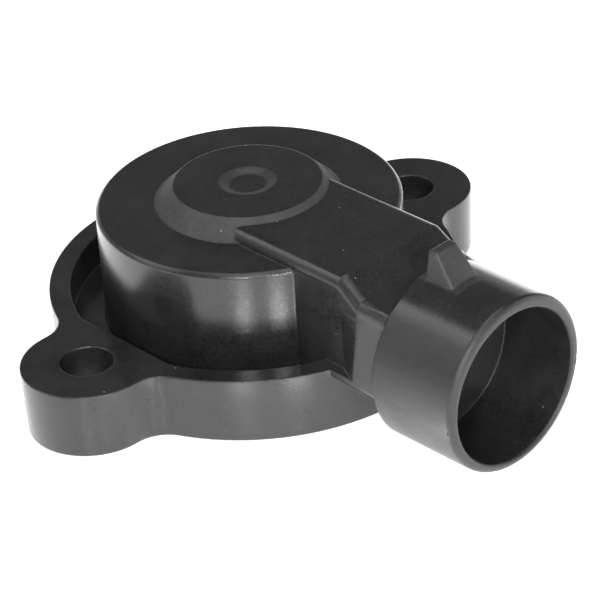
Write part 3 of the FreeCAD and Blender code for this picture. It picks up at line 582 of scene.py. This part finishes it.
def makeFinish(slotName, look):
    material = bpy.data.materials.new(slotName)
    material.use_nodes = True
    tree = material.node_tree
    shader = tree.nodes["Principled BSDF"].inputs
    grain = groupNode(tree, "grain", Scale=look["grainScale"], Flow=look["flowScale"])
    wear = groupNode(tree, "wear")
    tone = mixColour(tree, grain["Tone"], look["colour"], look["paler"])
    worn = product(tree, wear["Mask"], look["wear"])
    finest, coarsest = look["roughness"]
    roughness = spread(tree, grain["Tone"], To_Min=finest, To_Max=coarsest)
    if "polished" in look:
        smoother = polishedMask(tree, look["polished"])
        roughness = product(tree, roughness, mathNode(tree, "SUBTRACT", 1.0, smoother))
    if "matt" in look:
        zone = look["matt"]
        wedge = boxMask(tree, zone["low"], zone["high"], fades["wedge"])
        worn = mathNode(tree, "MULTIPLY", worn, mathNode(tree, "ADD", wedge, 1.0), clamp=True)
        matt = product(tree, wedge, zone["wedgeShare"])
        for slope in zone["slopes"]:
            matt = mathNode(tree, "MAXIMUM", matt, slopeMask(tree, slope))
        mottled = product(tree, grain["Tone"], zone["mottled"])
        share = mathNode(tree, "ADD", mottled, 1 - zone["mottled"])
        tone = mixColour(tree, product(tree, matt, share), tone, zone["colour"])
        rougher = product(tree, matt, mathNode(tree, "SUBTRACT", zone["roughness"], roughness))
        roughness = mathNode(tree, "ADD", roughness, rougher)
    colour = mixColour(tree, worn, tone, look["worn"])
    if "tracks" in look:
        colour = printTracks(tree, look["tracks"], colour)
    if look["dust"]:
        specks = groupNode(tree, "dust", Amount=look["dust"])["Mask"]
        specks = product(tree, specks, dustLook["share"])
        colour = mixColour(tree, specks, colour, dustLook["colour"])
    bump = addNode(tree, "ShaderNodeBump", Strength=1.0, Distance=look["bump"])
    link(tree, grain["Height"], bump.inputs["Height"])
    link(tree, wear["Rounded"], bump.inputs["Normal"])
    link(tree, colour, shader["Base Color"])
    link(tree, roughness, shader["Roughness"])
    link(tree, bump.outputs[0], shader["Normal"])
    shader["Metallic"].default_value = look["metallic"]
    return material


materials = {slotName: makeFinish(slotName, look) for slotName, look in finishes.items()}
print("finishes made:", len(materials))


# Eased edges: what counts as flat, sharp or round on a CAD mesh, angles in degrees
easing = {
    "joined": 2e-6,
    "digits": 6,  # to which two edges' ends agree
    "flatWithin": 0.2,
    "thinRing": 0.0008,  # a flat ring narrower than this keeps its triangles
    "thinRingFaces": 12,  # where it has more of them than this
    "sharp": 28,
    "shallowShare": 0.6,  # of that angle, in a box of shallow edges
    "keptRound": 8,  # hollow edges of a kept zone stay smooth below this
    "room": 2.5,  # times the ease, that two sharp edges need between them
    "sampleStep": 0.4,  # of that room
    "segments": 2,
    "flatWeight": 80,
    "lean": 14,  # how far a round face's normal may point off the radius
    "squareOn": 0.15,  # what counts as none of a normal's part along the axis or across it
}


# How far the ends of sharp edges lie from the next sharp edge, up to a reach
def sharpRoom(sharp, reach):
    samples = []
    for edge in sharp:
        first, last = (vertex.co for vertex in edge.verts)
        steps = 1 + int(edge.calc_length() / (easing["sampleStep"] * reach))
        samples += [(edge, first.lerp(last, step / steps)) for step in range(steps + 1)]
    tree = KDTree(len(samples))
    for index, (_, place) in enumerate(samples):
        tree.insert(place, index)
    tree.balance()
    room = {}
    for vertex in {vertex for edge in sharp for vertex in edge.verts}:
        near = tree.find_range(vertex.co, reach)
        others = (away for _, index, away in near if vertex not in samples[index][0].verts)
        room[vertex] = min(others, default=reach)
    return room


# Edges inside flat rings too thin to become one face, and edges round them
def thinRings(shell):
    flat = math.radians(easing["flatWithin"])
    inside, border, done = set(), set(), set()
    for start in shell.faces:
        if start in done:
            continue
        group, waiting = {start}, [start]
        while waiting:
            for edge in waiting.pop().edges:
                if not edge.is_manifold or edge.calc_face_angle() > flat:
                    continue
                fresh = [face for face in edge.link_faces if face not in group]
                group.update(fresh)
                waiting.extend(fresh)
        done |= group
        edges = {edge for face in group for edge in face.edges}
        rim = {edge for edge in edges if not all(face in group for face in edge.link_faces)}
        area = sum(face.calc_area() for face in group)
        width = 2 * area / sum(edge.calc_length() for edge in rim)
        if len(group) > easing["thinRingFaces"] and width < easing["thinRing"]:
            inside |= edges - rim
            border |= rim
    return inside, border


def within(place, boxes):
    return any(
        all(low <= value <= high for low, value, high in zip(lowest, place, highest))
        for lowest, highest in boxes
    )


def edgeEnds(edge):
    return tuple(sorted(vertex.co.to_tuple(easing["digits"]) for vertex in edge.verts))


# A CAD node's shell with its doubles merged and its flat faces whole, and its thin rings' borders
def cleanShell(nodeName):
    shell = bmesh.new()
    shell.from_mesh(nodes[nodeName].data)
    bmesh.ops.remove_doubles(shell, verts=shell.verts, dist=easing["joined"])
    inside, border = thinRings(shell)
    borderEnds = {edgeEnds(edge) for edge in border}
    plain = [edge for edge in shell.edges if edge not in inside]
    flat = math.radians(easing["flatWithin"])
    bmesh.ops.dissolve_limit(shell, angle_limit=flat, verts=[], edges=plain)
    for face in shell.faces:
        face.smooth = True
    return shell, borderEnds


# Which edges the bevel takes, by a weight that shrinks where others are close, and which it leaves
def markEdges(shell, borderEnds, ease, keep, shallow):
    weights = shell.edges.layers.float.new("bevel_weight_edge")
    reach = easing["room"] * ease
    solid = [edge for edge in shell.edges if edge.is_manifold]
    kept = {edge for edge in solid if any(within(vertex.co, keep) for vertex in edge.verts)}
    sharp = []
    for edge in solid:
        limit = easing["sharp"]
        if all(within(vertex.co, shallow) for vertex in edge.verts):
            limit *= easing["shallowShare"]
        if edge.calc_face_angle() > math.radians(limit):
            sharp.append(edge)
    for edge in kept:
        if not edge.is_convex:
            edge.smooth = edge.calc_face_angle() < math.radians(easing["keptRound"])
    room = sharpRoom(sharp, reach)
    for edge in sharp:
        if edge in kept or edgeEnds(edge) in borderEnds:
            edge.smooth = False
        else:
            edge[weights] = min(room[vertex] for vertex in edge.verts) / reach


# Corner normals turned true on round faces, each held by a zone round an axis
def setTrueNormals(mesh, rounds):
    normals = [corner.vector.copy() for corner in mesh.corner_normals]
    straight = math.cos(math.radians(easing["lean"]))
    for loop in mesh.loops:
        place = mesh.vertices[loop.vertex_index].co
        for axis, centre, (nearest, farthest), (lowest, highest) in rounds:
            outward = place - Vector(centre)
            outward[axis] = 0
            if not (nearest < outward.length < farthest and lowest < place[axis] < highest):
                continue
            along = normals[loop.index][axis]
            sideways = normals[loop.index].copy()
            sideways[axis] = 0
            if sideways.length <= easing["squareOn"]:
                continue
            facing = sideways.dot(outward) / (sideways.length * outward.length)
            if abs(facing) > straight:
                if abs(along) < easing["squareOn"]:
                    along = 0
                true = outward.normalized() * math.copysign(math.sqrt(1 - along * along), facing)
                true[axis] = along
                normals[loop.index] = true
                break
    mesh.normals_split_custom_set(normals)


# The mesh that an object's modifiers give, and the object itself gone
def settledMesh(rough, pieceName):
    evaluated = rough.evaluated_get(bpy.context.evaluated_depsgraph_get())
    finished = bpy.data.meshes.new_from_object(evaluated)
    bpy.data.objects.remove(rough)
    finished.name = pieceName
    return finished


# A copy of a CAD node with its edges eased, held within the node's own box
def easedPiece(pieceName, make):
    ease = make["ease"]
    shell, borderEnds = cleanShell(make["node"])
    markEdges(shell, borderEnds, ease, make.get("keep", ()), make.get("shallow", ()))
    mesh = bpy.data.meshes.new(pieceName + "Rough")
    shell.to_mesh(mesh)
    shell.free()
    rough = addObject(pieceName + "Rough", mesh)
    bevel = rough.modifiers.new("ease", "BEVEL")
    bevel.width = ease
    bevel.segments = easing["segments"]
    bevel.limit_method = "WEIGHT"
    bevel.use_clamp_overlap = False
    bevel.loop_slide = False
    weighted = rough.modifiers.new("flats", "WEIGHTED_NORMAL")
    weighted.weight = easing["flatWeight"]
    weighted.keep_sharp = True
    finished = settledMesh(rough, pieceName)
    lowest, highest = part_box(make["node"])
    for vertex in finished.vertices:
        sides = zip(lowest, vertex.co, highest)
        vertex.co = [max(low, min(high, value)) for low, value, high in sides]
    if "rounds" in make:
        setTrueNormals(finished, make["rounds"])
    finished.materials.clear()
    finished.materials.append(materials[make["slot"]])
    return addObject(pieceName, finished)


# Return spring: one round wire, its outer leg, its coil and its inner leg drawn along a single path
spring = {
    "Coil Radius": 0.0083,
    "Wire Radius": 0.00045,
    "Pitch": 0.0017,
    "Turns": 2.0,
    "Lowest Turn": 0.00295,
    "Outer End": 0.0140,  # shaft axis to the outer leg's end
    "Inner End": 0.0067,
    "Bend": 0.0012,  # how softly a leg runs into the coil
    "Steps": 320,  # along the wire
    "Sides": 14,  # of its section
}


def springTree(sizes):
    tree = bpy.data.node_groups.new("woundWire", "GeometryNodeTree")
    tree.interface.new_socket("Geometry", in_out="OUTPUT", socket_type="NodeSocketGeometry")
    for label, value in sizes.items():
        kind = "NodeSocketInt" if isinstance(value, int) else "NodeSocketFloat"
        tree.interface.new_socket(label, in_out="INPUT", socket_type=kind)
    tree.interface.new_socket("Material", in_out="INPUT", socket_type="NodeSocketMaterial")
    given = tree.nodes.new("NodeGroupInput").outputs
    coilRadius, bend = given["Coil Radius"], given["Bend"]

    # lengths of the three parts of the wire, and how far along it each point lies
    outerLeg = mathNode(tree, "SUBTRACT", given["Outer End"], coilRadius)
    innerLeg = mathNode(tree, "SUBTRACT", coilRadius, given["Inner End"])
    coil = product(tree, given["Turns"], 2 * math.pi, coilRadius)
    whole = mathNode(tree, "ADD", mathNode(tree, "ADD", outerLeg, coil), innerLeg)
    line = addNode(tree, "GeometryNodeCurvePrimitiveLine")
    path = addNode(tree, "GeometryNodeResampleCurve")
    link(tree, line.outputs[0], path.inputs["Curve"])
    link(tree, given["Steps"], path.inputs["Count"])
    along = product(tree, addNode(tree, "GeometryNodeSplineParameter").outputs["Factor"], whole)

    # how far before, past and beyond the coil a point lies, with soft bends; only the coil turns
    past = mathNode(tree, "SUBTRACT", along, outerLeg)
    before = mathNode(tree, "SUBTRACT", outerLeg, along)
    beyond = mathNode(tree, "SUBTRACT", past, coil)
    beforeCoil, pastStart, afterCoil = (
        mathNode(tree, "SMOOTH_MAX", length, 0.0, bend) for length in (before, past, beyond)
    )
    onCoil = mathNode(tree, "SUBTRACT", pastStart, afterCoil)
    angle = mathNode(tree, "DIVIDE", onCoil, coilRadius)
    reach = mathNode(tree, "SUBTRACT", mathNode(tree, "ADD", coilRadius, beforeCoil), afterCoil)
    rise = product(tree, mathNode(tree, "DIVIDE", angle, 2 * math.pi), given["Pitch"])
    place = addNode(tree, "ShaderNodeCombineXYZ")
    link(tree, product(tree, reach, mathNode(tree, "COSINE", angle)), place.inputs["X"])
    link(tree, product(tree, reach, mathNode(tree, "SINE", angle)), place.inputs["Y"])
    link(tree, mathNode(tree, "ADD", rise, given["Lowest Turn"]), place.inputs["Z"])
    bent = addNode(tree, "GeometryNodeSetPosition")
    link(tree, path.outputs[0], bent.inputs["Geometry"])
    link(tree, place.outputs[0], bent.inputs["Position"])

    section = addNode(tree, "GeometryNodeCurvePrimitiveCircle")
    link(tree, given["Sides"], section.inputs["Resolution"])
    link(tree, given["Wire Radius"], section.inputs["Radius"])
    tube = addNode(tree, "GeometryNodeCurveToMesh", Fill_Caps=True)
    link(tree, bent.outputs[0], tube.inputs["Curve"])
    link(tree, section.outputs["Curve"], tube.inputs["Profile Curve"])
    real = addNode(tree, "GeometryNodeRealizeInstances")
    link(tree, tube.outputs[0], real.inputs[0])
    coated = addNode(tree, "GeometryNodeSetMaterial")
    link(tree, real.outputs[0], coated.inputs["Geometry"])
    link(tree, given["Material"], coated.inputs["Material"])
    link(tree, coated.outputs[0], tree.nodes.new("NodeGroupOutput").inputs[0])
    return tree


def grownPiece(pieceName, tree, values):
    rough = addObject(pieceName + "Rough", bpy.data.meshes.new(pieceName + "Rough"))
    modifier = rough.modifiers.new("grow", "NODES")
    modifier.node_group = tree
    for item in tree.interface.items_tree:
        if item.in_out == "INPUT":
            modifier[item.identifier] = values[item.name]
    return addObject(pieceName, settledMesh(rough, pieceName))


# Pieces: the node that each stands for, its slot and how far its edges are eased
pieces = {
    "housingMoulding": {
        "node": "housing", "slot": "housing_plastic", "ease": 0.00012,
        # boxes round the lock wedge, with its own rounding, and the dimple, whose edges turn little
        "keep": [((0.0266, -0.0024, 0.0166), (0.0320, 0.0024, 0.0215))],
        "shallow": [((-0.0035, -0.0035, 0.0172), (0.0035, 0.0035, 0.0185))],
        "rounds": [
            # axis, a point on it, distances from it and places along it
            (2, (0, 0, 0), (0.0155, 0.01611), (0.0036, 0.0163)),  # round body
            (2, (0, 0, 0), (0.0076, 0.0101), (0.0160, 0.0183)),  # raised disc's slope
            (2, (0, 0, 0), (0.0017, 0.0033), (0.0172, 0.0183)),  # dimple
            (0, (0, 0, 0.00845), (0.00932, 0.00947), (0.015, 0.0372)),  # shroud
            (0, (0, 0, 0.00845), (0.0084, 0.00947), (0.0366, 0.0380)),  # its mouth's rounding
            (0, (0, 0, 0.00830), (0.00820, 0.00826), (0.015, 0.0380)),  # socket
        ],
    },
    "backCoverPlate": {"node": "back_cover", "slot": "cover_plastic", "ease": 0.00010},
    "rotorHub": {"node": "rotor", "slot": "rotor_plastic", "ease": 0.00010},
    "trackBoard": {"node": "track_board", "slot": "board_laminate", "ease": 0.00004},
    "sealRing": {"node": "flange_seal", "slot": "seal_rubber", "ease": 0.00035},
    "terminalSupply": {"node": "terminal_supply", "slot": "terminal_brass", "ease": 0.00004},
    "terminalSignal": {"node": "terminal_signal", "slot": "terminal_brass", "ease": 0.00004},
    "terminalGround": {"node": "terminal_ground", "slot": "terminal_brass", "ease": 0.00004},
    "wiperFingers": {"node": "wiper_spring", "slot": "contact_bronze", "ease": 0.00002},
    "thrustWasher": {"node": "thrust_washer", "slot": "washer_steel", "ease": 0.00005},
    "returnSpring": {
        "node": "return_spring", "slot": "spring_steel",
        "wound": ((0, 0, 0.0035), (0, 0, 0.0058)),  # winds up from its outer leg to its inner one
    },
}

bodies = frame["record"]["behaviour"]["bodies"]
bodyOf = {node: body for body, members in bodies.items() for node in members}
for pieceName, make in pieces.items():
    if "ease" in make:
        piece = easedPiece(pieceName, make)
    else:
        sizes = {**spring, "Material": materials[make["slot"]]}
        piece = grownPiece(pieceName, springTree(spring), sizes)
    if "wound" in make:
        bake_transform(piece)
    else:
        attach(piece, bodyOf[make["node"]])
    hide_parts(make["node"])
    print(pieceName, len(piece.data.polygons), "faces")
